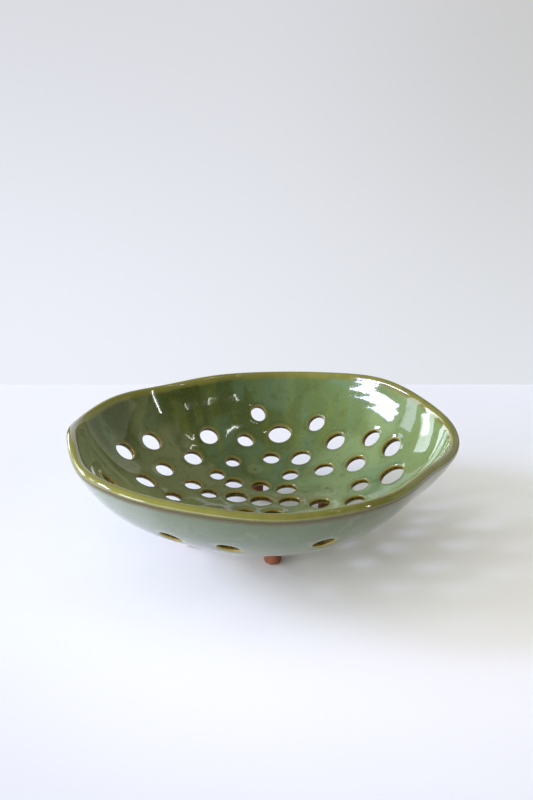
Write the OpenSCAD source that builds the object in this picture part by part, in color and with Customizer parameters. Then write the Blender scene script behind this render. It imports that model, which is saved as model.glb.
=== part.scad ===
// Hand-shaped ceramic berry bowl with punched drain holes, on four small clay feet.
// Millimetres. The origin is on the table under the middle of the bowl, and +Z is up.
// Azimuths are degrees from +X towards +Y, and the front of the bowl faces -Y.

/* [Bowl] */
// Mean radius of the rim, to the middle of the wall
rim_radius = 95; // [88:1:110]
// Rise from the floor's middle to the rim's middle, both at mid wall
bowl_depth = 43.3; // [36:0.1:52]
// Thickness of the clay wall
wall = 3.8; // [3.4:0.1:4.6]
// Thickness of the round lip, which the wall grows to near the rim
lip = 5.5; // [4.8:0.1:6.4]
// Angle that the side has turned through where it meets the rim
side_sweep = 68; // [62:1:74]
// Fullness of the side: 2 is a round arc, more is squarer
side_fullness = 2.6; // [2.3:0.1:2.9]
// Space between the table and the middle of the floor
floor_clearance = 8.15; // [7:0.05:11]

/* [Rim] */
// How far the hand-shaped rim swells out and draws in
rim_swell = 2.4; // [0:0.1:3]
// How far the rim rises and dips
rim_rise = 1.4; // [0:0.1:2.4]

/* [Drain holes] */
// Bore of a middling drain hole
hole_bore = 10; // [8:0.1:10.6]
// Radius of the softened edge at both ends of a hole
hole_edge = 0.9; // [0.5:0.1:1.3]

/* [Feet] */
// Radius of a foot at its waist
foot_radius = 4.6; // [3.8:0.1:5.2]
// How much wider a foot is where it meets the bowl
foot_splay = 0.6; // [0.2:0.1:1]
// Radius of the rounded bottom edge of a foot
foot_edge = 1.8; // [0.8:0.1:2.4]
// Depth of each flat seat in the underside, at its middle
seat_bite = 0.5; // [0.3:0.1:0.8]
// Clearance round a foot in its seat
seat_clearance = 0.2; // [0.1:0.05:0.4]

/* [Hidden] */

// Waves of the rim: how many round the bowl, azimuth of a crest, share of the swell or rise
swell_shares = [[2, 67, 0.85], [3, 44, 0.4], [4, 86, 0.53], [5, 6, 0.8], [8, 39, 0.24]];
rise_shares = [
    [1, 210, 0.22], [2, 44, 1.3], [3, 46, 0.67], [4, 36, 0.69], [5, 42, 0.49], [7, 45, 0.16],
    [8, 10, 0.28], [9, 23, 0.13], [10, 6, 0.21]
];

// Feet: azimuth, and reach as a share of the rim's radius there
foot_front_share = [279.5, 0.352];
foot_right_share = [31, 0.421];
foot_back_share = [94.5, 0.456];
foot_left_share = [203, 0.4];
foot_shares = [foot_front_share, foot_right_share, foot_back_share, foot_left_share];

// Holes: azimuth, reach as a share of the rim's radius there, bore as a share of hole_bore
floor_hole_shares = [
    [89.5, 0.12, 1.15], [195, 0.095, 0.9], [325, 0.08, 0.95], [35, 0.19, 1.1], [130, 0.22, 1.15],
    [91, 0.29, 1], [62, 0.29, 1.05], [116, 0.37, 0.95], [147.5, 0.345, 0.9], [191, 0.27, 0.9],
    [243, 0.245, 1], [291, 0.195, 0.9], [332, 0.28, 0.95], [10, 0.32, 1.05], [68, 0.425, 0.9]
];
middle_hole_shares = [
    [108, 0.56, 0.8], [84.5, 0.555, 0.9], [67.5, 0.58, 1.1], [48.5, 0.54, 1.05], [17.5, 0.57, 0.95],
    [2, 0.5, 1], [338, 0.455, 1.05], [307, 0.42, 1], [253, 0.42, 1.05], [223, 0.4, 1],
    [170.5, 0.485, 0.95], [146, 0.465, 0.9], [123, 0.48, 0.8]
];
side_hole_shares = [
    [11.5, 0.725, 1.3], [34.5, 0.655, 1.1], [54, 0.735, 1.1], [82, 0.735, 1.25], [98, 0.705, 0.9],
    [128.5, 0.655, 1], [148.5, 0.645, 1], [166, 0.655, 1.05], [206, 0.6, 1], [231, 0.6, 1.05],
    [268, 0.595, 1], [296, 0.62, 1.05], [323, 0.63, 1], [350, 0.655, 1.05]
];
upper_hole_shares = [
    [25.5, 0.82, 1.1], [38, 0.81, 0.95], [67, 0.815, 0.95], [91.5, 0.855, 0.85], [115, 0.77, 1.05],
    [142, 0.815, 1.1], [157.5, 0.83, 1.1], [190, 0.825, 1], [206, 0.8, 1], [222, 0.76, 1.05],
    [240, 0.83, 1.05], [260, 0.82, 1.05], [289, 0.865, 1], [309, 0.74, 1.05], [330, 0.8, 1],
    [352.5, 0.8, 0.95]
];
hole_shares = concat(floor_hole_shares, middle_hole_shares, side_hole_shares, upper_hole_shares);

// Colours of the glazed clay and of the bare clay
glaze_colour = [0.45, 0.55, 0.33];
clay_colour = [0.62, 0.35, 0.22];

// Counts of facets round the bowl, up its side, over its lip, and round a hole, a foot and an edge
around_count = 72;
side_count = 12;
lip_count = 6;
hole_facets = 24;
foot_facets = 40;
edge_steps = 3;

// Small steps used to find which way the wall faces
nudge_angle = 0.5;
nudge_share = 0.005;

// Most of half the wall that a hole's softened edge may take
edge_limit_share = 0.8;

// How late the wall grows to the lip's thickness: more is nearer the rim
lip_onset = 8;

// Derived sizes
half_wall = wall / 2;
half_lip = lip / 2;
mid_floor = floor_clearance + half_wall;
soft_edge = min(hole_edge, half_wall * edge_limit_share);
foot_top_radius = foot_radius + foot_splay;
seat_radius = foot_top_radius + seat_clearance;
overrun = half_wall / 2;
full_turn = 360;
half_turn = 180;
quarter_turn = 90;

function total(v, i = 0) = i < len(v) ? v[i] + total(v, i + 1) : 0;
function middle(v) = (min(v) + max(v)) / 2;
function unit(v) = v / norm(v);
function waves(shares, az) = total([for (w = shares) w[2] * cos(w[0] * (az - w[1]))]);

// The rim's radius and its rise above the floor, both at mid wall
function rim_reach(az) = rim_radius + rim_swell * waves(swell_shares, az);
function rim_climb(az) = bowl_depth + rim_rise * waves(rise_shares, az);

// How far up the side the wall has climbed at a share of the rim's radius
function climb_share(reach) =
    (1 - sqrt(1 - pow(reach, side_fullness) * pow(sin(side_sweep), 2))) / (1 - cos(side_sweep));

// Share of the rim's radius at a share of the sweep, so that rows bunch where the side curves
function reach_share(sweep) = pow(sin(sweep * side_sweep) / sin(side_sweep), 2 / side_fullness);

// A point at mid wall, the way up the side there, and the way the inside faces
function mid_wall(az, reach) = [
    rim_reach(az) * reach * cos(az),
    rim_reach(az) * reach * sin(az),
    mid_floor + rim_climb(az) * climb_share(reach)
];
function way_up(az, reach) = unit(mid_wall(az, reach + nudge_share) - mid_wall(az, reach - nudge_share));
function way_round(az, reach) = unit(mid_wall(az + nudge_angle, reach) - mid_wall(az - nudge_angle, reach));
function facing(az, reach) = unit(cross(way_up(az, reach), way_round(az, reach)));

// Half the wall's thickness, which grows to half the lip's at the rim
function half_at(reach) = half_wall + (half_lip - half_wall) * pow(reach, lip_onset);

// Rings of points: up the inside, over the round lip, and down the outside
function side_ring(row, side) = let (reach = reach_share(row / side_count)) [
    for (s = [0 : around_count - 1]) let (az = s * full_turn / around_count)
        mid_wall(az, reach) + side * half_at(reach) * facing(az, reach)
];
function lip_ring(step) = let (turn = step * half_turn / lip_count) [
    for (s = [0 : around_count - 1]) let (az = s * full_turn / around_count)
        mid_wall(az, 1) + half_lip * (cos(turn) * facing(az, 1) + sin(turn) * way_up(az, 1))
];
ring_points = [
    for (row = [1 : side_count]) each side_ring(row, 1),
    for (step = [1 : lip_count - 1]) each lip_ring(step),
    for (row = [side_count : -1 : 1]) each side_ring(row, -1)
];
ring_count = len(ring_points) / around_count;
floor_top = len(ring_points);
floor_bottom = floor_top + 1;

// The plan's middle is moved onto the origin
plan_shift = [
    -middle([for (p = ring_points) p[0]]),
    -middle([for (p = ring_points) p[1]]),
    0
];

shell_points = concat(ring_points, [[0, 0, mid_floor + half_wall], [0, 0, mid_floor - half_wall]]);
shell_faces = [
    for (s = [0 : around_count - 1]) let (t = (s + 1) % around_count)
        [floor_top, t, s],
    for (r = [0 : ring_count - 2]) for (s = [0 : around_count - 1])
        let (t = (s + 1) % around_count, low = r * around_count, high = low + around_count)
            each [[low + s, low + t, high + s], [low + t, high + t, high + s]],
    for (s = [0 : around_count - 1])
        let (t = (s + 1) % around_count, last = (ring_count - 1) * around_count)
            [floor_bottom, last + s, last + t]
];

// Half outline of a hole's cutter: a straight bore that opens out in a rounded edge at one end
function flare(radius, half) = [
    for (k = [0 : edge_steps - 1]) let (turn = k * quarter_turn / edge_steps)
        [radius + soft_edge * (1 - cos(turn)), half - soft_edge * (1 - sin(turn))]
];
function flare_end(radius, half) = let (
    last = flare(radius, half)[edge_steps - 1],
    turn = (edge_steps - 1) * quarter_turn / edge_steps,
    run = (half + overrun - last[1]) / cos(turn)
) [last[0] + run * sin(turn), half + overrun];
function cutter_side(radius, half) = concat(flare(radius, half), [flare_end(radius, half)]);

module hole_cutter(radius, half) {
    upper = cutter_side(radius, half);
    lower = [for (k = [len(upper) - 1 : -1 : 0]) [upper[k][0], -upper[k][1]]];
    rotate_extrude($fn = hole_facets)
        polygon(concat([[0, -half - overrun]], lower, upper, [[0, half + overrun]]));
}

// Turns what points up so that it points the way the inside of the wall faces at a place
module face_wall(share) {
    aim = facing(share[0], share[1]);
    rotate([0, acos(aim[2]), atan2(aim[1], aim[0])]) children();
}

// A hole is punched square to the wall
module drain_hole(share) {
    translate(mid_wall(share[0], share[1]))
        face_wall(share)
            hole_cutter(hole_bore * share[2] / 2, half_at(share[1]));
}

// The middle of a foot's flat seat in the underside
function seat_middle(share) =
    mid_wall(share[0], share[1]) - (half_at(share[1]) - seat_bite) * facing(share[0], share[1]);

// Stands a turned shape on the table under a seat and cuts its top off along the seat
function trim_height(seat) = seat[2] + foot_radius;
module up_to_seat(share) {
    seat = seat_middle(share);
    intersection() {
        translate([seat[0], seat[1], 0]) children();
        translate(seat)
            face_wall(share)
                translate([0, 0, -trim_height(seat)])
                    cylinder(h = trim_height(seat), r = trim_height(seat), $fn = foot_facets);
    }
}

module seat_cutter(share) {
    up_to_seat(share)
        cylinder(h = trim_height(seat_middle(share)), r = seat_radius, $fn = foot_facets);
}

// A foot is a turned peg that splays a little towards the bowl
function foot_outline(height) = concat(
    [[0, 0]],
    [for (k = [0 : edge_steps]) let (turn = k * quarter_turn / edge_steps)
        [foot_radius - foot_edge * (1 - sin(turn)), foot_edge * (1 - cos(turn))]],
    [[foot_top_radius, height], [0, height]]
);
module foot(share) {
    color(clay_colour)
        translate(plan_shift)
            up_to_seat(share)
                rotate_extrude($fn = foot_facets)
                    polygon(foot_outline(trim_height(seat_middle(share))));
}

module bowl() {
    color(glaze_colour)
        translate(plan_shift)
            difference() {
                polyhedron(shell_points, shell_faces);
                for (share = hole_shares) drain_hole(share);
                for (share = foot_shares) seat_cutter(share);
            }
}

module foot_front() { foot(foot_front_share); }
module foot_right() { foot(foot_right_share); }
module foot_back() { foot(foot_back_share); }
module foot_left() { foot(foot_left_share); }

bowl();
foot_front();
foot_right();
foot_back();
foot_left();
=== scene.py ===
# A hand-shaped ceramic colander bowl for berries, glazed green, on four bare clay feet.
import math

import bmesh
import bpy
import numpy as np
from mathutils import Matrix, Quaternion, Vector
from mathutils.geometry import delaunay_2d_cdt


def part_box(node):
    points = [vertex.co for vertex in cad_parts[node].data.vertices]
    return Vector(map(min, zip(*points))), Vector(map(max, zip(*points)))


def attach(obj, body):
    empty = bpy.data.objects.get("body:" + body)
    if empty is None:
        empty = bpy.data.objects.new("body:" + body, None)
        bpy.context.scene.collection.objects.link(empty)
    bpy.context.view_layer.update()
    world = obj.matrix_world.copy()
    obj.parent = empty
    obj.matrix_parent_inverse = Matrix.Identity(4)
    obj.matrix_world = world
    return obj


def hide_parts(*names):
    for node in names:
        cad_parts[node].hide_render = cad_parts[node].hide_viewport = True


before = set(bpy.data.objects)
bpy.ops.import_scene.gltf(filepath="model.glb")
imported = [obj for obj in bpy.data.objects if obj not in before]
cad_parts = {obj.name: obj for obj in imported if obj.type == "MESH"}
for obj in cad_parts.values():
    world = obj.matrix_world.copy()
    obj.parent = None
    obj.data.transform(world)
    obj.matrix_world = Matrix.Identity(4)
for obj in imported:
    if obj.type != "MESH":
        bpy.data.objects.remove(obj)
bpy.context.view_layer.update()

MM = 0.001
FEET = ["foot_front", "foot_right", "foot_back", "foot_left"]
FOOT_BOXES = {name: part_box(name) for name in FEET}

# Sizes of the bowl, as the solids have them
RIM_RADIUS = 95 * MM
BOWL_DEPTH = 43.3 * MM
WALL = 3.8 * MM
LIP = 5.5 * MM
LIP_ONSET = 8
SIDE_SWEEP = math.radians(68)
SIDE_FULLNESS = 2.6
FLOOR_CLEARANCE = 8.15 * MM
RIM_SWELL = 2.4 * MM
RIM_RISE = 1.4 * MM
HOLE_BORE = 10 * MM
HOLE_EDGE = 0.9 * MM
MID_FLOOR = FLOOR_CLEARANCE + WALL / 2

# Waves of the rim: how many round the bowl, azimuth of a crest, share of the swell or rise
SWELL_SHARES = [(2, 67, 0.85), (3, 44, 0.4), (4, 86, 0.53), (5, 6, 0.8), (8, 39, 0.24)]
RISE_SHARES = [
    (1, 210, 0.22), (2, 44, 1.3), (3, 46, 0.67), (4, 36, 0.69), (5, 42, 0.49), (7, 45, 0.16),
    (8, 10, 0.28), (9, 23, 0.13), (10, 6, 0.21),
]

# Holes: azimuth, reach as a share of the rim's radius there, bore as a share of HOLE_BORE, and
# for those that were pulled out of round, their stretch up the wall
HOLE_SHARES = [
    (89.5, 0.12, 1.15), (195, 0.095, 0.9), (325, 0.08, 0.95), (35, 0.19, 1.1), (130, 0.22, 1.15),
    (91, 0.29, 1), (62, 0.29, 1.05), (116, 0.37, 0.95), (147.5, 0.345, 0.9), (191, 0.27, 0.9),
    (243, 0.245, 1), (291, 0.195, 0.9), (332, 0.28, 0.95), (10, 0.32, 1.05), (68, 0.425, 0.9),
    (108, 0.56, 0.8, 0.94), (84.5, 0.555, 0.9), (67.5, 0.58, 1.1), (48.5, 0.54, 1.05, 0.94),
    (17.5, 0.57, 0.95), (2, 0.5, 1), (338, 0.455, 1.05), (307, 0.42, 1), (253, 0.42, 1.05),
    (223, 0.4, 1), (170.5, 0.485, 0.95), (146, 0.465, 0.9), (123, 0.48, 0.8),
    (11.5, 0.725, 1.3, 1.05), (34.5, 0.655, 1.1), (54, 0.735, 1.1), (82, 0.735, 1.25),
    (98, 0.705, 0.9), (128.5, 0.655, 1), (148.5, 0.645, 1), (166, 0.655, 1.05, 1.06),
    (206, 0.6, 1), (231, 0.6, 1.05), (268, 0.595, 1), (296, 0.62, 1.05), (323, 0.63, 1),
    (350, 0.655, 1.05),
    (25.5, 0.82, 1.1), (38, 0.81, 0.95, 1.08), (67, 0.815, 0.95, 1.08), (91.5, 0.855, 0.85, 1.12),
    (115, 0.77, 1.05), (142, 0.815, 1.1), (157.5, 0.83, 1.1), (190, 0.825, 1), (206, 0.8, 1),
    (222, 0.76, 1.05), (240, 0.83, 1.05), (260, 0.82, 1.05), (289, 0.865, 1), (309, 0.74, 1.05),
    (330, 0.8, 1), (352.5, 0.8, 0.95),
]

# How the fired bowl differs from its plain form: soft unevenness left by the hands, in waves of
# (direction in degrees, waves across the bowl, phase in radians, height)
HAND_INSIDE = [
    (20, 2.3, 0.4, 0.16 * MM), (75, 3.1, 2.1, 0.11 * MM), (130, 4.3, 4.0, 0.07 * MM),
    (165, 2.7, 5.2, 0.12 * MM), (48, 5.6, 1.3, 0.045 * MM), (105, 6.4, 3.3, 0.035 * MM),
]
HAND_OUTSIDE = [
    (35, 2.1, 1.9, 0.14 * MM), (95, 3.4, 0.7, 0.09 * MM), (150, 4.7, 3.1, 0.06 * MM),
]
# How much thinner each side of the lip is than the solid's, to lie just inside it
LIP_TRIM = 0.14 * MM
# Shallow dents inside, pressed in where the feet were stuck on, and how sharply they end
DENT_RADIUS = 5.5 * MM
DENT_DEPTH = 0.6 * MM
DENT_POWER = 6
# How deep the holes' edges are sunk into the wall, and the distance over which that fades
HOLE_SINK = 0.26 * MM
SINK_RUN = 1.3 * MM
# The distance over which the glaze thickens away from a hole, and how thin it is down the bore
THIN_RUN = 0.8 * MM
BORE_THIN_SHARE = 0.6
# How deep in a hole its softened edge ends, for the glaze
EDGE_DEEP_SHARE = 0.35
# Where two holes are close, their edges leave this web, reckoned from this share of the web
# between their bores
LEAST_WEB = 0.5 * MM
WEB_SHARE = 0.94
# How a hole wavers: waves round it, share of its radius
WOBBLE_SHARES = [(2, 0.018), (3, 0.011)]
# How far past the rim the top of the lip counts as lying, for the glaze
LIP_REACH_SHARE = 0.03

# Feet: waist as a share of the top's radius, rounding below, and a trim that keeps the wavering
# outline within the solid's
FOOT_WAIST_SHARE = 0.885
FOOT_EDGE = 2.3 * MM
FOOT_TRIM_SHARE = 0.978
# How a foot wavers: waves round it, turn from one foot to the next, share of its radius. The
# wavering swings by the twist, in radians, from the foot's bottom to its top
FOOT_WAVER_SHARES = [(2, 1.7, 0.012), (3, 2.3, 0.01)]
FOOT_TWIST = 2.0

# Mesh fineness
SKIN_STEP = 1.7 * MM
RIM_COUNT = 384
LEAST_COUNT = 6
LIP_STEPS = 16
HOLE_COUNT = 48
EDGE_STEPS = 6
BORE_STEPS = 3
GUARD_RINGS = [0.8 * MM, 1.8 * MM]
GUARD_CLEARANCE = 0.9 * MM
FOOT_COUNT = 56
FOOT_STEPS = 8
# Samples that measure the bowl's plan and the wall's length
PLAN_COUNT = 720
PLAN_STEPS = 12
ARC_COUNT = 400
# A small step on the disc for slopes, and how often a ring round a hole is bettered
NUDGE = 0.002
SOLVE_ROUNDS = 5
# An allowance for ties, a guard against dividing by zero, and a length past any on the bowl
SLACK = 1e-6
TINY = 1e-9
FAR = 1.0
# A hole isn't counted for what lies further than this along its axis
HOLE_SIGHT = 4 * WALL

# Colours as screen values
PAINTS = {
    "dark olive": (68, 78, 34), "leaf green": (97, 116, 69), "light green": (124, 142, 90),
    "blue green": (98, 126, 96), "yellow green": (108, 120, 46), "painted sheen grey green": (122, 131, 92),
    "painted sheen soft green": (146, 168, 116), "pale green and painted sheen": (166, 176, 128), "dark fleck": (62, 78, 34),
    "pale grain": (150, 168, 120), "dent": (124, 134, 94), "dent middle": (56, 62, 24),
    "pale jade and painted light": (134, 147, 129), "jade": (86, 102, 70), "outside olive and painted shade": (63, 77, 32),
    "jade fleck": (132, 146, 122), "olive gold": (128, 128, 62), "painted shade dull gold": (110, 110, 50),
    "gold streak": (142, 138, 70), "lip brown": (72, 60, 22), "hole halo": (126, 126, 52),
    "hole line": (50, 60, 26), "hole gold": (150, 126, 50), "bore": (62, 58, 22),
    "bore grain": (122, 106, 42),
    "dark clay": (118, 66, 42), "light clay": (150, 94, 64), "grit": (84, 48, 32),
    "table": (234, 236, 238), "painted light table middle": (254, 254, 254), "painted shade table front": (214, 217, 222),
    "wall low left": (238, 241, 250), "wall low right": (227, 230, 235),
    "wall high left": (217, 218, 224), "wall high right": (203, 203, 203),
    "room": (232, 234, 240),
}

# Layers of the glaze, each over those before it: its paint, then its edges. An edge is a pattern of
# glaze_patterns, where the layer starts there and where it is full, and how strong it is at each
INSIDE_LAYERS = [
    ("leaf green", ("across", -45 * MM, 55 * MM)),
    ("light green", ("across", 30 * MM, 85 * MM), ("along", 80 * MM, 0, 0.2, 0.7)),
    ("blue green", ("blotches", 0.48, 0.62, 0, 0.5)),
    ("yellow green", ("streaks", 0.48, 0.66, 0, 0.45)),
    # Painted sheen: a paler grey green on the front left of the floor, standing in for the bright room
    # that the glaze mirrors there
    ("painted sheen grey green", ("slant", 38 * MM, 18 * MM), ("across", -85 * MM, -62 * MM)),
    # Painted sheen: a paler soft green on the right of the floor
    ("painted sheen soft green", ("across", 18 * MM, 35 * MM), ("across", 75 * MM, 55 * MM),
     ("along", 56 * MM, 44 * MM, 0, 0.4)),
    # Paler towards the front: partly paler glaze, partly painted sheen and painted light on the front
    # floor and front inside wall
    ("pale green and painted sheen", ("along", 32 * MM, -30 * MM), ("reach", 0.15, 0.55), ("across", 70 * MM, 30 * MM)),
    # Painted reflection: each dent is painted lighter, as the glaze mirrors it; the dark middle below is
    # glaze pooled there
    ("dent", ("from dent", 0.85 * DENT_RADIUS, 0.7 * DENT_RADIUS, 0, 0.45)),
    ("dent middle", ("from dent", 0.22 * DENT_RADIUS, 0.07 * DENT_RADIUS, 0, 0.6)),
    ("dark fleck", ("flecks", 0.5, 0.72, 0, 0.35)),
    ("pale grain", ("grains", 0.5, 0.8, 0, 0.14)),
]
# Outside: partly the glaze's own tones, partly painted light that makes the left paler and painted shade
# that makes the right olive
OUTSIDE_LAYERS = [
    ("jade", ("across", -90 * MM, -10 * MM)),
    ("outside olive and painted shade", ("across", 10 * MM, 90 * MM)),
    ("jade fleck", ("flecks", 0.5, 0.72, 0, 0.2)),
]
# The lip: painted shade makes its gold duller towards the right
LIP_LAYERS = [
    ("painted shade dull gold", ("across", -80 * MM, 80 * MM)),
    ("gold streak", ("streaks", 0.4, 0.7, 0, 0.4)),
]
HOLE_LAYERS = [
    ("hole halo", ("thin_glaze", 0.35, 0.95), ("along", 30 * MM, -50 * MM, 0.3, 0.75)),
    ("hole line", ("thin_glaze", 0.06, 0.3), ("thin_glaze", 0.75, 0.4, 0, 0.2)),
    ("hole gold", ("broken", 0.08, 0.24)),
]
BORE_LAYERS = [("bore grain", ("grains", 0.48, 0.66, 0, 0.7))]
# Ends of "inside" between which the inner greens give way to the outer ones, and the same for the
# lip's two sides. Ends of "deep" for the bore's colour, and for its dry surface
OUTSIDE_ENDS = (-0.2, -0.75)
LIP_SIDE_ENDS = (0.1, -0.9)
BORE_ENDS = (0.26, 0.5)
DRY_ENDS = (0.3, 0.8)

# Noises over the glaze: fineness, detail, roughness and distortion
GLAZE_NOISES = {
    "blotches": (32, 3, 0.55, 0.6), "flecks": (150, 4, 0.65), "grains": (700, 2, 0.6),
    "swell": (60, 2, 0.5), "ripple": (210, 2, 0.5),
}
# Streaks run down the side: their noise, and how little it changes up the wall
STREAK_NOISE = (9, 4, 0.6)
STREAK_DRAW_SHARE = 0.35
# How far blotches shift the glaze's zones, how much the painted sheen on the front floor slants, and how
# much flecks break up the golden edges of the holes
ZONE_DRIFT = 60 * MM
SHEEN_SLANT_SHARE = 0.55
FLECK_BREAK_SHARE = 0.2
# The lip's gold: the reach where it starts and where it is full, how much further out that is on
# its outer side, and how uneven it is. Then how strong the brown line is where the gold fades
LIP_START_SHARE = 0.987
LIP_FULL_SHARE = 0.999
LIP_OUTER_SHARE = 0.024
LIP_UNEVEN_SHARE = 0.008
LIP_BROWN = 3.9
# Gloss of the glaze: roughness between two ends of the flecks, what the dry bores add to it, and
# specular and coat where it is wet and where it is dry
GLAZE_IOR = 1.52
GLAZE_ROUGHNESS = (0.3, 0.8, 0.045, 0.09)
BORE_ROUGHNESS = 0.3
GLAZE_SPECULAR = (0.5, 0.14)
GLAZE_COAT = (0.35, 0)
COAT_ROUGHNESS = 0.03
# Bumps: height and strength
SWELL_BUMP = (0.2 * MM, 0.5)
RIPPLE_BUMP = (0.05 * MM, 0.5)
GRIT_BUMP = (0.12 * MM, 0.7)

# Clay: noises, layers as for the glaze, and roughness between two ends of the clouds
CLAY_NOISES = {"clouds": (180, 4, 0.6), "grit": (1500, 3, 0.7)}
CLAY_LAYERS = [
    ("light clay", ("clouds", 0.35, 0.7)),
    ("grit", ("grit", 0.55, 0.75, 0, 0.6)),
]
CLAY_ROUGHNESS = (0.3, 0.8, 0.7, 0.9)
CLAY_IOR = 1.45

# The table: its edges, the middle of a painted pool of light that lifts the bowl's shadow, and the noise
# that makes that uneven
TABLE_BACK = 235 * MM
TABLE_SIDE = 1600 * MM
TABLE_PAINTED_LIGHT_PLACE = (60 * MM, -40 * MM)
TABLE_NOISE = (6, 3, 0.5)
TABLE_CLOUD = 60 * MM
TABLE_LAYERS = [
    # Painted light round the bowl, lifting its shadow
    ("painted light table middle", ("from painted light", 270 * MM, 80 * MM)),
    # Painted shade: the table greyer towards the front
    ("painted shade table front", ("north", -100 * MM, -320 * MM, 0, 0.6)),
]
TABLE_ROUGHNESS = 0.7
TABLE_IOR = 1.15

# The wall past the table: its edges, and where its tones of painted shade change from left to right, low
# and high up, and from low to high, on a slant
WALL_BACK = 750 * MM
WALL_SIDE = 335 * MM
WALL_TOP = 420 * MM
WALL_LOW = -300 * MM
WALL_LOW_ENDS = (-300 * MM, 340 * MM)
WALL_HIGH_ENDS = (-50 * MM, 340 * MM)
WALL_RISE_ENDS = (-200 * MM, 330 * MM)
WALL_SLANT_SHARE = 0.15

CAMERA_PLACE = (1.82 * MM, -517.66 * MM, 254.13 * MM)
CAMERA_DOWN = 19.46
CAMERA_LENS = 50
CAMERA_SENSOR = 36

# Lights that the glaze mirrors stand this far from a point above the floor of the bowl
LIGHT_DISTANCE = 5000 * MM
LIGHT_AIM = Vector((0, 0, 30 * MM))
# Panes of the big window as the bowl sees them: azimuth, elevation, width and height in degrees.
# Then the radiance and colour of them all
WINDOW_PANES = [
    (174.9, 23.2, 12, 3.8), (172.7, 27, 13.4, 3.8), (169.3, 30.7, 10.5, 3.6),
    (184.2, 17.6, 3.8, 4.8), (182.8, 22.3, 3, 5),
]
PANE_LIGHT = (36, (0.58, 0.61, 1))
# The other lights: azimuth, elevation, width, height and roll in degrees, radiance and colour
LIGHTS = {
    "window_far_left": (203, 8, 13, 22, 0, 8, (0.8, 0.85, 1)),
    "window_haze": (159.5, 19.8, 7.5, 19, 30, 4.2, (0.72, 0.78, 1)),
    "window_back_left": (142, 15.5, 22, 11, -32, 4.5, (0.8, 0.9, 1)),
    "window_back_core": (147, 14, 12, 6, -32, 7, (0.85, 0.92, 1)),
    "window_back": (124, 3, 14, 11, -20, 4.5, (0.8, 0.9, 1)),
    "window_arc": (139.7, 4.5, 25, 1, 20, 12, (1, 1, 1)),
    "slit_right": (345.5, 31, 1.2, 21, -22, 22, (1, 1, 1)),
    "slit_front": (325.5, 46, 0.35, 8, -17, 20, (1, 1, 1)),
    "slit_high": (15, 68, 11, 0.7, 40, 16, (1, 1, 1)),
    "card_right": (38, 18, 66, 34, 8, 0.52, (0.95, 1, 0.8)),
}
# The room's light on what is matt: how strong each side of it is and its colour
FILL = {
    "left": (3.65, (0.72, 0.78, 1)),
    "left front": (2.6, (1, 0.92, 0.86)),
    "high": (0.59, (1, 0.98, 0.82)),
}
# What the glaze mirrors of the room
SHINE = {
    "left front low": (2.3, (0.8, 0.86, 1)),
    "front low": (1.6, (0.9, 0.95, 1)),
    "high": (0.14, (1, 1, 0.75)),
    "all round": (0.05, (1, 1, 0.7)),
}
# Sides of the room: azimuth, where the light starts, as the cosine of the angle from there, and
# the band of heights that it fills. All are full at the same cosine
ROOM_SIDES = {
    "left": (180, 0.1, "low"), "left front": (225, 0.1, "low"),
    "left front low": (215, 0.4, "lowest"), "front low": (270, 0.1, "lowest"),
}
ROOM_FULL = 0.95
# Bands of heights, as sines of the elevation. The low band also rises from the floor up
ROOM_HIGH = (0.2, 0.95)
ROOM_LOW = (0.75, 0.2)
ROOM_LOW_RISE = (0, 0.3, 0.2, 1.15)
ROOM_LOWEST = (0.38, 0.14)


def circle(count, start=0.0):
    """Places evenly round a circle of radius 1, the first one start steps on."""
    turn = (np.arange(count) + start) * 2 * math.pi / count
    return np.column_stack([np.cos(turn), np.sin(turn)])


def unit(vectors):
    return vectors / np.linalg.norm(vectors, axis=-1, keepdims=True)


def waves(shares, azimuth):
    return sum(share * np.cos(count * (azimuth - math.radians(crest))) for count, crest, share in shares)


def climb_share(reach):
    turned = np.clip(1 - reach ** SIDE_FULLNESS * math.sin(SIDE_SWEEP) ** 2, 0, 1)
    return (1 - np.sqrt(turned)) / (1 - math.cos(SIDE_SWEEP))


def mid_wall(disc):
    """Points at mid wall for places on a disc whose rim is at 1."""
    azimuth = np.arctan2(disc[:, 1], disc[:, 0])
    radius = RIM_RADIUS + RIM_SWELL * waves(SWELL_SHARES, azimuth)
    climb = BOWL_DEPTH + RIM_RISE * waves(RISE_SHARES, azimuth)
    height = MID_FLOOR + climb * climb_share(np.hypot(disc[:, 0], disc[:, 1]))
    return np.column_stack([disc[:, 0] * radius, disc[:, 1] * radius, height])


def facing(disc):
    """Which way the inside faces."""
    along = mid_wall(disc + [NUDGE, 0]) - mid_wall(disc - [NUDGE, 0])
    across = mid_wall(disc + [0, NUDGE]) - mid_wall(disc - [0, NUDGE])
    return unit(np.cross(along, across))


def way_up(disc):
    """The way up the side, square to the way that the inside faces."""
    outward = unit(disc) * NUDGE
    slope = unit(mid_wall(disc + outward) - mid_wall(disc - outward))
    face = facing(disc)
    return unit(slope - np.sum(slope * face, axis=1, keepdims=True) * face)


def plan_middle():
    """The middle of the bowl's plan, which the solids put on the origin."""
    rim = circle(PLAN_COUNT)
    turns = np.linspace(0, math.pi, PLAN_STEPS + 1)
    points = np.concatenate([
        mid_wall(rim) + LIP / 2 * (math.cos(turn) * facing(rim) + math.sin(turn) * way_up(rim))
        for turn in turns
    ])
    return (points.min(axis=0) + points.max(axis=0))[:2] / 2


def arc_table():
    """Reach, and the length of wall from the middle out to it."""
    reach = np.linspace(0, 1, ARC_COUNT)
    out = RIM_RADIUS * reach
    up = BOWL_DEPTH * climb_share(reach)
    return reach, np.concatenate([[0], np.cumsum(np.hypot(np.diff(out), np.diff(up)))])


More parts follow.
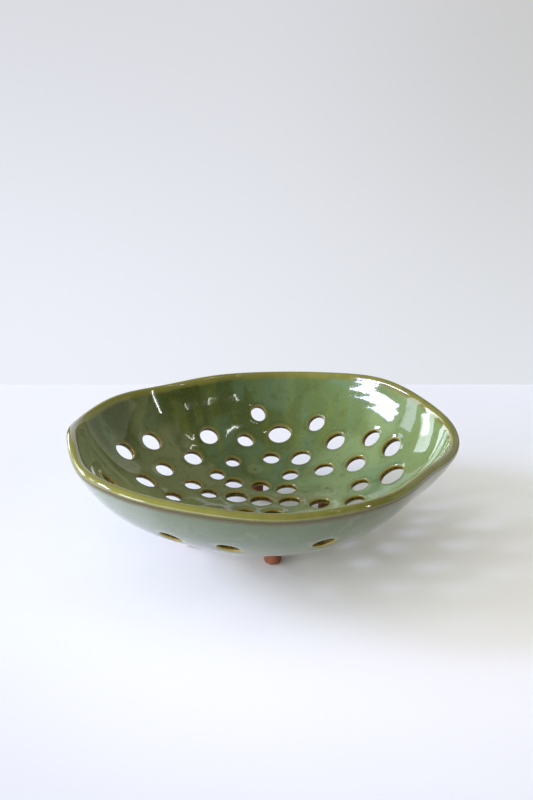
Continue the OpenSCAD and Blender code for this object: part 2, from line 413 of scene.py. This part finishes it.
class Holes:
    """Each hole's place on the disc, its middle, axis and cross directions, and its sizes."""

    def __init__(self, shares):
        self.count = len(shares)
        azimuth = np.radians([share[0] for share in shares])
        reach = np.array([share[1] for share in shares])
        self.disc = reach[:, None] * np.column_stack([np.cos(azimuth), np.sin(azimuth)])
        self.middle = mid_wall(self.disc)
        self.axis = facing(self.disc)
        self.up = way_up(self.disc)
        self.across = np.cross(self.up, self.axis)
        self.radius = HOLE_BORE * np.array([share[2] for share in shares]) / 2
        self.stretch = np.array([share[3] if len(share) > 3 else 1 for share in shares])
        self.soft = self.softened_edges()

    def softened_edges(self):
        """The softened edge of each hole, smaller where the next hole is close."""
        apart = np.linalg.norm(self.middle[:, None] - self.middle[None, :], axis=2)
        web = apart - self.radius[:, None] - self.radius[None, :]
        np.fill_diagonal(web, FAR)
        return np.minimum(HOLE_EDGE, (web.min(axis=1) * WEB_SHARE - LEAST_WEB) / 2)


def foot_place(node):
    """The middle of a foot in plan, in the frame's own coordinates."""
    low, high = FOOT_BOXES[node]
    return (low[0] + high[0]) / 2, (low[1] + high[1]) / 2


PLAN_SHIFT = -plan_middle()
FOOT_PLACES = np.array([foot_place(node) for node in FEET])
ARC_REACH, ARC_LENGTH = arc_table()
FLAT_RIM = ARC_LENGTH[-1]
HOLES = Holes(HOLE_SHARES)


def hand_height(disc, table):
    height = np.zeros(len(disc))
    for heading, count, phase, size in table:
        turn = math.radians(heading)
        across = disc[:, 0] * math.cos(turn) + disc[:, 1] * math.sin(turn)
        height += size * np.sin(math.pi * count * across + phase)
    return height


def dent_height(points):
    """Dents are flat in the middle and blend out into the floor of the bowl."""
    height = np.zeros(len(points))
    for place in FOOT_PLACES - PLAN_SHIFT:
        away = np.hypot(points[:, 0] - place[0], points[:, 1] - place[1]) / DENT_RADIUS
        height -= DENT_DEPTH / (1 + away ** DENT_POWER)
    return height


def half_thickness(disc, side):
    """Half the wall, which grows to the lip's near the rim, where the hand's unevenness dies out."""
    near_rim = np.minimum(np.hypot(disc[:, 0], disc[:, 1]), 1) ** LIP_ONSET
    hand = hand_height(disc, HAND_INSIDE if side > 0 else HAND_OUTSIDE)
    half = WALL / 2 + (LIP - WALL) / 2 * near_rim + hand * (1 - near_rim) - LIP_TRIM * near_rim
    if side > 0:
        half += dent_height(mid_wall(disc))
    return half


def skin(disc, side):
    """Points on the inside, side 1, or on the outside, side -1."""
    return mid_wall(disc) + side * half_thickness(disc, side)[:, None] * facing(disc)


def flatten(disc):
    """The wall rolled out flat, so that triangles come out even up the side."""
    reach = np.hypot(disc[:, 0], disc[:, 1])
    return disc * (np.interp(reach, ARC_REACH, ARC_LENGTH) / np.maximum(reach, TINY))[:, None]


def skin_grid():
    """Even rings of places on the disc, short of the rim."""
    ring_count = round(FLAT_RIM / SKIN_STEP)
    places = [np.zeros((1, 2))]
    for ring in range(1, ring_count):
        length = FLAT_RIM * ring / ring_count
        reach = np.interp(length, ARC_LENGTH, ARC_REACH)
        count = max(LEAST_COUNT, min(RIM_COUNT, round(2 * math.pi * length / SKIN_STEP)))
        places.append(reach * circle(count, 0.5 * (ring % 2)))
    return np.concatenate(places)


def hole_ring(hole, extra, side):
    """Places on the disc of a ring round a hole: extra is how far it lies outside the bore."""
    turn = np.arange(HOLE_COUNT) * 2 * math.pi / HOLE_COUNT
    wobble = sum(share * np.cos(count * turn + hole * count) for count, share in WOBBLE_SHARES)
    ring = HOLES.radius[hole] * (1 + wobble) + extra
    wanted = np.column_stack([ring * np.cos(turn), ring * np.sin(turn) * HOLES.stretch[hole]])
    cross = np.column_stack([HOLES.across[hole], HOLES.up[hole]])

    def seen(disc):
        """Where the skin at those places lies across the hole's axis."""
        return (skin(disc, side) - HOLES.middle[hole]) @ cross

    disc = HOLES.disc[hole] + wanted * 0
    for _ in range(SOLVE_ROUNDS):
        here = seen(disc)
        steps = [seen(disc + [NUDGE, 0]) - here, seen(disc + [0, NUDGE]) - here]
        slopes = np.stack(steps, axis=2) / NUDGE
        disc = disc + np.linalg.solve(slopes, (wanted - here)[:, :, None])[:, :, 0]
    return disc


def past_edges(points):
    """How far each point lies past each hole's softened edge, measured square to its axis."""
    away = points[:, None, :] - HOLES.middle[None, :, :]
    along = np.sum(away * HOLES.axis[None, :, :], axis=2)
    across = np.sqrt(np.maximum(np.sum(away ** 2, axis=2) - along ** 2, 0))
    across[np.abs(along) > HOLE_SIGHT] = FAR
    return across - HOLES.radius[None, :] - HOLES.soft[None, :]


class Shell:
    """Gathers the bowl's points and faces, and what the glaze goes by at each point."""

    def __init__(self):
        self.points = []
        self.faces = []
        self.values = {}
        self.count = 0

    def add(self, points, disc, thin, inside, deep):
        """Adds points, and returns their numbers."""
        numbers = np.arange(self.count, self.count + len(points))
        self.points.append(points)
        values = {
            "thin_glaze": thin,
            "inside": inside,
            "deep": deep,
            "reach": np.hypot(disc[:, 0], disc[:, 1]),
            "round": np.arctan2(disc[:, 1], disc[:, 0]),
        }
        for name, value in values.items():
            self.values.setdefault(name, []).append(np.zeros(len(points)) + value)
        self.count += len(points)
        return numbers

    def strip(self, low, high):
        """Quads between two closed rings of as many points."""
        self.faces += np.column_stack([low, np.roll(low, -1), np.roll(high, -1), high]).tolist()

    def add_ring(self, last, points, disc, thin, inside, deep):
        """Adds a ring of points that is joined to the last ring, and returns their numbers."""
        ring = self.add(points, disc, thin, inside, deep)
        self.strip(last, ring)
        return ring


def triangles(flat):
    """Delaunay triangles over flat places."""
    scaled = [Vector(place) for place in (flat / MM).tolist()]
    result = delaunay_2d_cdt(scaled, [], [], 0, SLACK)
    origin = [sources[0] for sources in result[3]]
    return np.array([[origin[i] for i in face] for face in result[2]])


def guard_rings(side):
    """Rings of places round the holes that keep the triangles there even, short of the next hole."""
    guards = []
    for extra in GUARD_RINGS:
        for hole in range(HOLES.count):
            ring = hole_ring(hole, HOLES.soft[hole] + extra, side)
            past = past_edges(skin(ring, side))
            own = past[:, hole]
            guards.append(ring[(own <= past.min(axis=1) + SLACK) & (own > extra / 2)])
    return guards


def in_holes(faces, place_count):
    """Which faces lie in a hole: all three places are on one ring. The holes' rings follow the rim."""
    owner = np.full(place_count, -1)
    owner[RIM_COUNT:RIM_COUNT + HOLES.count * HOLE_COUNT] = np.repeat(np.arange(HOLES.count), HOLE_COUNT)
    owners = owner[faces]
    return (owners[:, 0] >= 0) & (owners[:, 0] == owners[:, 1]) & (owners[:, 0] == owners[:, 2])


def add_skin(shell, side):
    """One side of the wall with its holes left open. Returns its rim ring and each hole's ring."""
    rings = [hole_ring(hole, HOLES.soft[hole], side) for hole in range(HOLES.count)]
    grid = skin_grid()
    grid = grid[past_edges(skin(grid, side)).min(axis=1) > GUARD_RINGS[-1] + GUARD_CLEARANCE]
    disc = np.concatenate([circle(RIM_COUNT)] + rings + guard_rings(side) + [grid])
    points = skin(disc, side)
    past = np.maximum(past_edges(points).min(axis=1), 0)
    thin = np.exp(-(past / THIN_RUN) ** 2)
    sink = HOLE_SINK * np.exp(-(past / SINK_RUN) ** 2)
    points -= side * sink[:, None] * facing(disc)
    numbers = shell.add(points, disc, thin, side, 0)
    faces = triangles(flatten(disc))
    shell.faces += numbers[faces[~in_holes(faces, len(disc))]].tolist()
    starts = [RIM_COUNT + hole * HOLE_COUNT for hole in range(HOLES.count)]
    return numbers[:RIM_COUNT], [numbers[start:start + HOLE_COUNT] for start in starts]


def add_lip(shell, inner_rim, outer_rim):
    """The full-round lip over the top of the wall."""
    rim = circle(RIM_COUNT)
    face = facing(rim)
    up = way_up(rim)
    middle = mid_wall(rim)
    thick_in = half_thickness(rim, 1)
    thick_out = half_thickness(rim, -1)
    last = inner_rim
    for step in range(1, LIP_STEPS):
        turn = math.pi * step / LIP_STEPS
        share = (1 - math.cos(turn)) / 2
        thick = (thick_in * (1 - share) + thick_out * share)[:, None]
        points = middle + thick * (math.cos(turn) * face + math.sin(turn) * up)
        beyond = rim * (1 + LIP_REACH_SHARE * math.sin(turn))
        last = shell.add_ring(last, points, beyond, 0, math.cos(turn), 0)
    shell.strip(last, outer_rim)


def edge_ring(hole, turn, side):
    """Points round a hole's softened edge. The edge starts on the skin at turn 0."""
    soft = HOLES.soft[hole]
    disc = hole_ring(hole, soft * (1 - math.sin(turn)), side)
    depth = soft * (1 - math.cos(turn)) + HOLE_SINK
    return skin(disc, side) - side * depth * HOLES.axis[hole], disc


def add_bore(shell, hole, inner_ring, outer_ring):
    """The softened edges and the bore of a hole, from the inside to the outside."""
    turn_shares = np.linspace(0, 1, EDGE_STEPS + 1)[1:]
    last = inner_ring
    for share in turn_shares:
        top, disc = edge_ring(hole, share * math.pi / 2, 1)
        last = shell.add_ring(last, top, disc, 1, 1, share * EDGE_DEEP_SHARE)
    low_rings = [edge_ring(hole, share * math.pi / 2, -1) for share in turn_shares]
    bottom = low_rings[-1][0]
    for step in range(1, BORE_STEPS + 1):
        share = step / (BORE_STEPS + 1)
        points = top + (bottom - top) * share
        last = shell.add_ring(last, points, disc, BORE_THIN_SHARE, 1 - 2 * share, 1)
    for share, (points, disc) in reversed(list(zip(turn_shares, low_rings))):
        last = shell.add_ring(last, points, disc, 1, -1, share * EDGE_DEEP_SHARE)
    shell.strip(last, outer_ring)


def new_object(name, data):
    thing = bpy.data.objects.new(name, data)
    bpy.context.scene.collection.objects.link(thing)
    return thing


def new_mesh_object(name, points, faces):
    mesh = bpy.data.meshes.new(name)
    mesh.from_pydata(points, [], faces)
    mesh.update()
    mesh.shade_smooth()
    return new_object(name, mesh)


def turn_faces_out(mesh):
    work = bmesh.new()
    work.from_mesh(mesh)
    bmesh.ops.recalc_face_normals(work, faces=work.faces)
    work.to_mesh(mesh)
    work.free()


def make_bowl():
    shell = Shell()
    inner_rim, inner_rings = add_skin(shell, 1)
    outer_rim, outer_rings = add_skin(shell, -1)
    add_lip(shell, inner_rim, outer_rim)
    for hole in range(HOLES.count):
        add_bore(shell, hole, inner_rings[hole], outer_rings[hole])
    points = np.concatenate(shell.points)
    points[:, :2] += PLAN_SHIFT
    thing = new_mesh_object("glazed_bowl", points.tolist(), shell.faces)
    turn_faces_out(thing.data)
    for name, values in shell.values.items():
        layer = thing.data.attributes.new(name, "FLOAT", "POINT")
        layer.data.foreach_set("value", np.concatenate(values).astype(np.float32))
    return thing


def foot_outline(top_radius, height):
    """Half outline of a foot: flat below, a rounded edge, and a splay to where it is stuck on."""
    waist = top_radius * FOOT_WAIST_SHARE
    outline = [(waist - FOOT_EDGE, 0.0)]
    for step in range(1, FOOT_STEPS + 1):
        turn = math.pi / 2 * step / FOOT_STEPS
        outline.append((waist - FOOT_EDGE * (1 - math.sin(turn)), FOOT_EDGE * (1 - math.cos(turn))))
    for step in range(1, FOOT_STEPS + 1):
        share = step / FOOT_STEPS
        radius = waist + (top_radius - waist) * share ** 2
        outline.append((radius, FOOT_EDGE + (height - FOOT_EDGE) * share))
    return outline


def ring_faces(ring_count, count):
    """Quads between rings of points, and a cap at each end."""
    faces = []
    for low in range(0, (ring_count - 1) * count, count):
        high = low + count
        for step in range(count):
            after = (step + 1) % count
            faces.append((low + step, low + after, high + after, high + step))
    faces.append(tuple(reversed(range(count))))
    faces.append(tuple(range((ring_count - 1) * count, ring_count * count)))
    return faces


def waver(turn, number):
    """How much a foot's radius wavers at a turn round it."""
    return sum(share * math.cos(count * turn + number * lag) for count, lag, share in FOOT_WAVER_SHARES)


def make_foot(node, number):
    """A clay peg: flat where it stands, rounded below and a little wider where it is stuck on."""
    low, high = FOOT_BOXES[node]
    middle_x, middle_y = foot_place(node)
    height = high[2]
    outline = foot_outline((high[0] - low[0]) / 2, height)
    points = []
    for radius, level in outline:
        twist = math.cos(level / height * FOOT_TWIST + number)
        for step in range(FOOT_COUNT):
            turn = 2 * math.pi * step / FOOT_COUNT
            out = radius * (FOOT_TRIM_SHARE + waver(turn, number) * twist)
            points.append((out * math.cos(turn) + middle_x, out * math.sin(turn) + middle_y, level))
    return new_mesh_object("clay_" + node, points, ring_faces(len(outline), FOOT_COUNT))


def paint(name):
    """A paint as a colour in linear light."""
    def linear(value):
        value = value / 255
        return value / 12.92 if value <= 0.04045 else ((value + 0.055) / 1.055) ** 2.4
    return tuple(linear(value) for value in PAINTS[name]) + (1.0,)


class Nodes:
    """Short names for making and joining shader nodes."""

    def __init__(self, tree):
        self.tree = tree
        tree.nodes.clear()

    def new(self, kind, **settings):
        node = self.tree.nodes.new(kind)
        for key, value in settings.items():
            setattr(node, key, value)
        return node

    def put(self, value, socket):
        """Joins an output to a socket, or sets the socket to a plain value."""
        if isinstance(value, bpy.types.NodeSocket):
            self.tree.links.new(value, socket)
        else:
            socket.default_value = value

    def fill(self, node, inputs):
        for key, value in inputs.items():
            self.put(value, node.inputs[key])
        return node

    def attribute(self, name):
        return self.new("ShaderNodeAttribute", attribute_name=name).outputs["Fac"]

    def place(self, kind="Object"):
        """Coordinates, as one output and as its x, y and z."""
        whole = self.new("ShaderNodeTexCoord").outputs[kind]
        parts = self.fill(self.new("ShaderNodeSeparateXYZ"), {0: whole}).outputs
        return whole, parts[0], parts[1], parts[2]

    def math(self, operation, first, second=0.0, clamp=False):
        node = self.new("ShaderNodeMath", operation=operation, use_clamp=clamp)
        return self.fill(node, {0: first, 1: second}).outputs[0]

    def plus(self, first, second):
        return self.math("ADD", first, second)

    def times(self, first, second):
        return self.math("MULTIPLY", first, second)

    def swing(self, noise, size):
        """A noise that swings about 0, by half that size each way."""
        return self.times(self.plus(noise, -0.5), size)

    def length(self, east, north):
        return self.math("SQRT", self.plus(self.times(east, east), self.times(north, north)))

    def ease(self, value, low, high, start=0.0, end=1.0):
        """Goes smoothly from start to end as value goes from low to high."""
        node = self.new("ShaderNodeMapRange", interpolation_type="SMOOTHSTEP")
        return self.fill(node, {0: value, 1: low, 2: high, 3: start, 4: end}).outputs[0]

    def mix(self, share, first, second):
        node = self.new("ShaderNodeMix", data_type="RGBA")
        return self.fill(node, {0: share, 6: first, 7: second}).outputs[2]

    def layered(self, body, layers, patterns):
        """Lays paints over a body, each as strong as its edges together let it be."""
        for name, *edges in layers:
            strength = 1.0
            for pattern, *ends in edges:
                strength = self.times(self.ease(patterns[pattern], *ends), strength)
            body = self.mix(strength, body, paint(name))
        return body

    def mixed_shader(self, share, first, second):
        node = self.new("ShaderNodeMixShader")
        return self.fill(node, {0: share, 1: first.outputs[0], 2: second.outputs[0]})

    def noise(self, vector, scale, detail, roughness, distortion=0.0):
        node = self.new("ShaderNodeTexNoise")
        inputs = {
            "Vector": vector, "Scale": scale, "Detail": detail, "Roughness": roughness,
            "Distortion": distortion,
        }
        return self.fill(node, inputs).outputs["Fac"]

    def noises(self, vector, table):
        return {name: self.noise(vector, *settings) for name, settings in table.items()}

    def bump(self, height, distance, strength, under=None):
        inputs = {"Height": height, "Distance": distance, "Strength": strength}
        if under is not None:
            inputs["Normal"] = under
        return self.fill(self.new("ShaderNodeBump"), inputs).outputs["Normal"]


def new_material(name):
    material = bpy.data.materials.new(name)
    material.use_nodes = True
    return material, Nodes(material.node_tree)


def finish_material(nodes, shader):
    nodes.fill(nodes.new("ShaderNodeOutputMaterial"), {"Surface": shader.outputs[0]})


def from_dent(nodes, east, north):
    """How far a place lies, in plan, from the middle of the nearest dent."""
    nearest = FAR
    for place in FOOT_PLACES:
        away = nodes.length(nodes.plus(east, -place[0]), nodes.plus(north, -place[1]))
        nearest = nodes.math("MINIMUM", away, nearest)
    return nearest


def glaze_patterns(nodes):
    """What the glaze goes by: places on the bowl, and noises that blotch, speckle and run down it."""
    place, east, north, _ = nodes.place()
    patterns = {name: nodes.attribute(name) for name in ("thin_glaze", "inside", "deep", "reach")}
    patterns.update(nodes.noises(place, GLAZE_NOISES))
    azimuth = nodes.attribute("round")
    run = nodes.fill(nodes.new("ShaderNodeCombineXYZ"), {
        0: nodes.math("COSINE", azimuth),
        1: nodes.math("SINE", azimuth),
        2: nodes.times(patterns["reach"], STREAK_DRAW_SHARE),
    })
    patterns["streaks"] = nodes.noise(run.outputs[0], *STREAK_NOISE)
    drift = nodes.swing(patterns["blotches"], ZONE_DRIFT)
    patterns["across"] = nodes.plus(east, drift)
    patterns["along"] = nodes.plus(north, drift)
    patterns["slant"] = nodes.plus(patterns["along"], nodes.times(patterns["across"], SHEEN_SLANT_SHARE))
    patterns["from dent"] = from_dent(nodes, east, north)
    patterns["broken"] = nodes.plus(patterns["deep"], nodes.swing(patterns["flecks"], FLECK_BREAK_SHARE))
    return patterns


def glaze_body(nodes, patterns):
    """The glaze's colour: greens, gold on the lip with a brown line below it, golden hole edges."""
    inside = nodes.layered(paint("dark olive"), INSIDE_LAYERS, patterns)
    outside = nodes.layered(paint("pale jade and painted light"), OUTSIDE_LAYERS, patterns)
    lip = nodes.layered(paint("olive gold"), LIP_LAYERS, patterns)
    bore = nodes.layered(paint("bore"), BORE_LAYERS, patterns)

    outer_side = nodes.ease(patterns["inside"], *LIP_SIDE_ENDS)
    lip_full = nodes.plus(nodes.times(outer_side, LIP_OUTER_SHARE), LIP_FULL_SHARE)
    wavering = nodes.plus(patterns["reach"], nodes.swing(patterns["streaks"], LIP_UNEVEN_SHARE))
    on_lip = nodes.ease(wavering, LIP_START_SHARE, lip_full)
    fading = nodes.times(on_lip, nodes.math("SUBTRACT", 1.0, on_lip))
    brown = nodes.times(nodes.times(fading, LIP_BROWN), outer_side)

    body = nodes.mix(nodes.ease(patterns["inside"], *OUTSIDE_ENDS), inside, outside)
    body = nodes.mix(on_lip, body, lip)
    body = nodes.mix(brown, body, paint("lip brown"))
    body = nodes.layered(body, HOLE_LAYERS, patterns)
    return nodes.mix(nodes.ease(patterns["deep"], *BORE_ENDS), body, bore)


def glaze_material():
    """Glossy green glaze: thick and green in the bowl, thin and golden on the lip and hole edges."""
    material, nodes = new_material("green_glaze")
    patterns = glaze_patterns(nodes)
    dry = nodes.ease(patterns["deep"], *DRY_ENDS)
    rough = nodes.ease(patterns["flecks"], *GLAZE_ROUGHNESS)
    normal = nodes.bump(patterns["swell"], *SWELL_BUMP)
    normal = nodes.bump(patterns["ripple"], *RIPPLE_BUMP, normal)
    shader = nodes.fill(nodes.new("ShaderNodeBsdfPrincipled"), {
        "Base Color": glaze_body(nodes, patterns),
        "Roughness": nodes.plus(rough, nodes.times(dry, BORE_ROUGHNESS)),
        "IOR": GLAZE_IOR,
        "Specular IOR Level": nodes.ease(dry, 0, 1, *GLAZE_SPECULAR),
        "Coat Weight": nodes.ease(dry, 0, 1, *GLAZE_COAT),
        "Coat Roughness": COAT_ROUGHNESS,
        "Normal": normal,
        "Coat Normal": normal,
    })
    finish_material(nodes, shader)
    return material


def clay_material():
    """Bare fired clay: matt reddish brown, paler in clouds, with darker grit."""
    material, nodes = new_material("bare_clay")
    patterns = nodes.noises(nodes.place()[0], CLAY_NOISES)
    shader = nodes.fill(nodes.new("ShaderNodeBsdfPrincipled"), {
        "Base Color": nodes.layered(paint("dark clay"), CLAY_LAYERS, patterns),
        "Roughness": nodes.ease(patterns["clouds"], *CLAY_ROUGHNESS),
        "IOR": CLAY_IOR,
        "Normal": nodes.bump(patterns["grit"], *GRIT_BUMP),
    })
    finish_material(nodes, shader)
    return material


def table_material():
    """A satin white table, with painted light brightest round the bowl and painted shade that makes it a
    little greyer in front.
    """
    material, nodes = new_material("pale_table")
    place, east, north, _ = nodes.place()
    cloud = nodes.swing(nodes.noise(place, *TABLE_NOISE), TABLE_CLOUD)
    middle_x, middle_y = TABLE_PAINTED_LIGHT_PLACE
    away = nodes.length(nodes.plus(east, -middle_x), nodes.plus(north, -middle_y))
    patterns = {"from painted light": nodes.plus(away, cloud), "north": north}
    shader = nodes.fill(nodes.new("ShaderNodeBsdfPrincipled"), {
        "Base Color": nodes.layered(paint("table"), TABLE_LAYERS, patterns),
        "Roughness": TABLE_ROUGHNESS,
        "IOR": TABLE_IOR,
    })
    finish_material(nodes, shader)
    return material


def wall_material():
    """A pale wall with painted shade that makes it greyer towards its top right, which glows with that
    tone for the camera.
    """
    material, nodes = new_material("pale_wall")
    _, across, _, up = nodes.place()
    height = nodes.plus(up, nodes.times(across, WALL_SLANT_SHARE))
    low_right = nodes.ease(across, *WALL_LOW_ENDS)
    high_right = nodes.ease(across, *WALL_HIGH_ENDS)
    # Painted shade: the wall greyer high up and to the right, shown to the camera as a glow
    low = nodes.mix(low_right, paint("wall low left"), paint("wall low right"))
    high = nodes.mix(high_right, paint("wall high left"), paint("wall high right"))
    tone = nodes.mix(nodes.ease(height, *WALL_RISE_ENDS), low, high)
    matt = nodes.fill(nodes.new("ShaderNodeBsdfDiffuse"), {"Color": tone})
    shown = nodes.fill(nodes.new("ShaderNodeEmission"), {"Color": tone})
    camera_ray = nodes.new("ShaderNodeLightPath").outputs["Is Camera Ray"]
    finish_material(nodes, nodes.mixed_shader(camera_ray, matt, shown))
    return material


def sheet(name, corners, material):
    thing = new_mesh_object(name, corners, [(0, 1, 2, 3)])
    thing.data.materials.append(material)
    return thing


def make_stage():
    """A pale table and, past its back edge, a pale wall that fills the camera's view."""
    table = sheet("table", [
        (-TABLE_SIDE, -TABLE_SIDE, 0),
        (TABLE_SIDE, -TABLE_SIDE, 0),
        (TABLE_SIDE, TABLE_BACK, 0),
        (-TABLE_SIDE, TABLE_BACK, 0),
    ], table_material())
    wall = sheet("back_wall", [
        (-WALL_SIDE, WALL_BACK, WALL_LOW),
        (WALL_SIDE, WALL_BACK, WALL_LOW),
        (WALL_SIDE, WALL_BACK, WALL_TOP),
        (-WALL_SIDE, WALL_BACK, WALL_TOP),
    ], wall_material())


def window_light(name, azimuth, elevation, wide, tall, roll, radiance, colour):
    """A rectangular light that faces the bowl. Its sizes and roll are degrees as the bowl sees it."""
    turn = math.radians(azimuth)
    rise = math.radians(elevation)
    toward = Vector((math.cos(rise) * math.cos(turn), math.cos(rise) * math.sin(turn), math.sin(rise)))
    data = bpy.data.lights.new(name, "AREA")
    data.shape = "RECTANGLE"
    data.size = 2 * LIGHT_DISTANCE * math.tan(math.radians(wide / 2))
    data.size_y = 2 * LIGHT_DISTANCE * math.tan(math.radians(tall / 2))
    data.energy = radiance * math.pi * data.size * data.size_y
    data.color = colour
    light = new_object(name, data)
    light.location = LIGHT_AIM + toward * LIGHT_DISTANCE
    turned = (-toward).to_track_quat("-Z", "Y") @ Quaternion((0, 0, 1), math.radians(roll))
    light.rotation_euler = turned.to_euler()


def make_lights():
    for number, pane in enumerate(WINDOW_PANES):
        window_light("window_pane_%d" % number, *pane, 0, *PANE_LIGHT)
    for name, settings in LIGHTS.items():
        window_light(name, *settings)


def room_patterns(nodes):
    """How strongly each side of the room shows in a direction."""
    _, east, north, up = nodes.place("Generated")
    bands = {
        "low": nodes.times(nodes.ease(up, *ROOM_LOW), nodes.ease(up, *ROOM_LOW_RISE)),
        "lowest": nodes.ease(up, *ROOM_LOWEST),
    }
    patterns = {"high": nodes.ease(up, *ROOM_HIGH), "all round": 1.0}
    for side, (azimuth, start, band) in ROOM_SIDES.items():
        turn = math.radians(azimuth)
        along = nodes.plus(nodes.times(east, math.cos(turn)), nodes.times(north, math.sin(turn)))
        patterns[side] = nodes.times(nodes.ease(along, start, ROOM_FULL), bands[band])
    return patterns


def room_light(nodes, patterns, strengths):
    """Adds up the room's sides, each as bright as its strength says."""
    total = None
    for side, (strength, colour) in strengths.items():
        glow = nodes.fill(nodes.new("ShaderNodeBackground"), {
            "Color": (*colour, 1.0),
            "Strength": nodes.times(patterns[side], strength),
        })
        if total is None:
            total = glow
        else:
            sides = {0: total.outputs[0], 1: glow.outputs[0]}
            total = nodes.fill(nodes.new("ShaderNodeAddShader"), sides)
    return total


def make_world():
    """A soft room. What shines in the glaze is a darker room than the one that lights the table."""
    world = bpy.data.worlds.new("soft_room")
    world.use_nodes = True
    nodes = Nodes(world.node_tree)
    patterns = room_patterns(nodes)
    ray = nodes.new("ShaderNodeLightPath").outputs
    fill = room_light(nodes, patterns, FILL)
    shine = room_light(nodes, patterns, SHINE)
    lit = nodes.mixed_shader(ray["Is Glossy Ray"], fill, shine)
    seen = nodes.fill(nodes.new("ShaderNodeBackground"), {"Color": paint("room")})
    shown = nodes.math("ADD", ray["Is Camera Ray"], ray["Is Transmission Ray"], clamp=True)
    both = nodes.mixed_shader(shown, lit, seen)
    nodes.fill(nodes.new("ShaderNodeOutputWorld"), {"Surface": both.outputs[0]})
    bpy.context.scene.world = world


def make_camera():
    """The photograph's view: a 50 mm lens from the front, looking down a little."""
    data = bpy.data.cameras.new("camera")
    data.lens = CAMERA_LENS
    data.sensor_width = CAMERA_SENSOR
    camera = new_object("camera", data)
    camera.location = CAMERA_PLACE
    camera.rotation_euler = (math.radians(90 - CAMERA_DOWN), 0, 0)
    bpy.context.scene.camera = camera


bowl = make_bowl()
bowl.data.materials.append(glaze_material())
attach(bowl, "root")
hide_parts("bowl")

clay = clay_material()
for number, node in enumerate(FEET):
    foot = make_foot(node, number)
    foot.data.materials.append(clay)
    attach(foot, "root")
    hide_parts(node)

make_stage()
make_lights()
make_world()
make_camera()
bpy.context.scene.view_settings.view_transform = "Standard"
